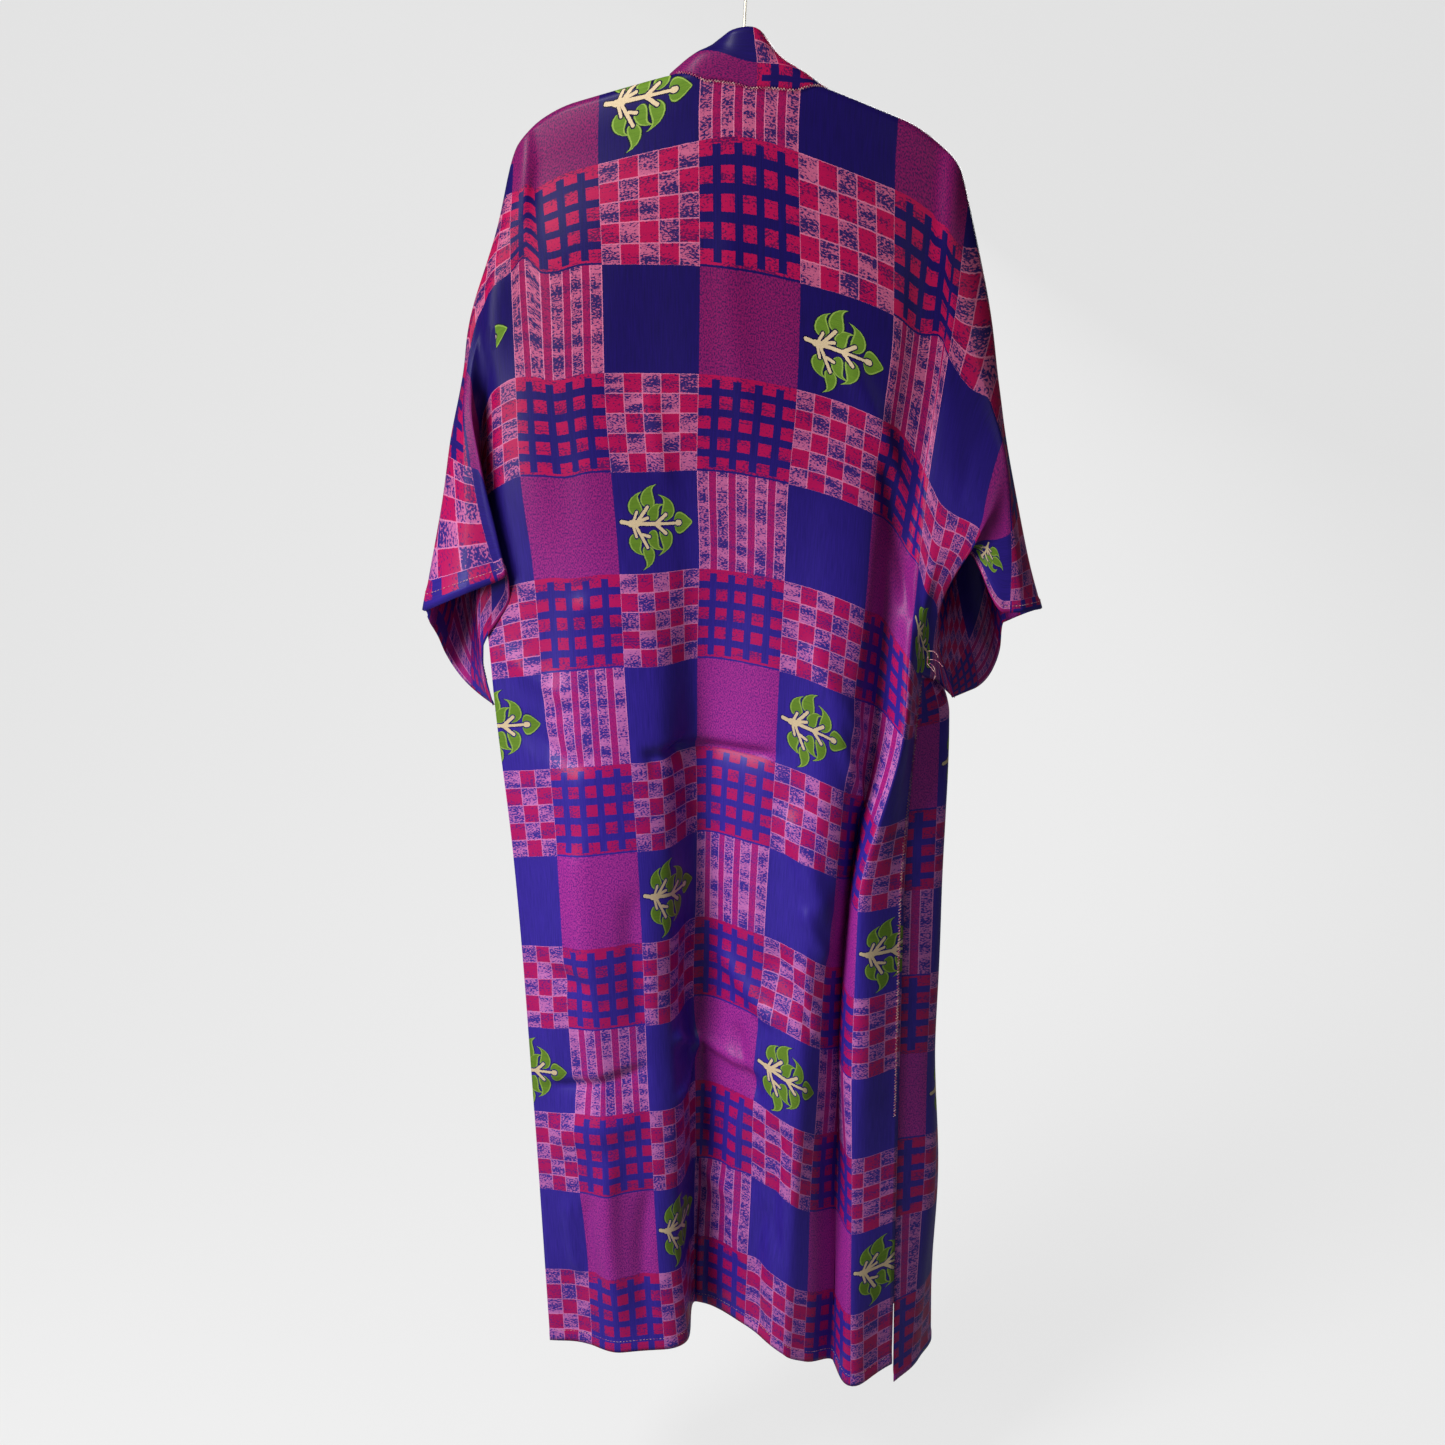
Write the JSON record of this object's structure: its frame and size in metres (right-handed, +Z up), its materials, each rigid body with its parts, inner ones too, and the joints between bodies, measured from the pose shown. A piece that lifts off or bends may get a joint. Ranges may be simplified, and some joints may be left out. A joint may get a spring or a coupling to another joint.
{
  "type": "kimono robe on hanger",
  "caption": "Full-length open-front kimono robe with cut-on sleeves and a neckband, hanging by the shoulders from a plain contoured hanger with a wire hook.",
  "frame": {"origin": "inner top of the hanger's hook, where a rail or peg carries it", "axes": "+Z up, +X to the right of someone who looks at the robe's back, +Y towards the robe's front"},
  "size_m": [0.6784, 0.1648, 1.6381],
  "materials": {
    "printed_cloth": "satin",
    "band_cloth": "satin",
    "hanger_plastic": "satin",
    "hook_wire": "polished"
  },
  "bodies": {
    "root": {"back": "printed_cloth", "front_left": "printed_cloth", "front_right": "printed_cloth", "neck_band": "band_cloth", "hanger_bar": "hanger_plastic", "hanger_hook": "hook_wire"}
  },
  "joints": []
}
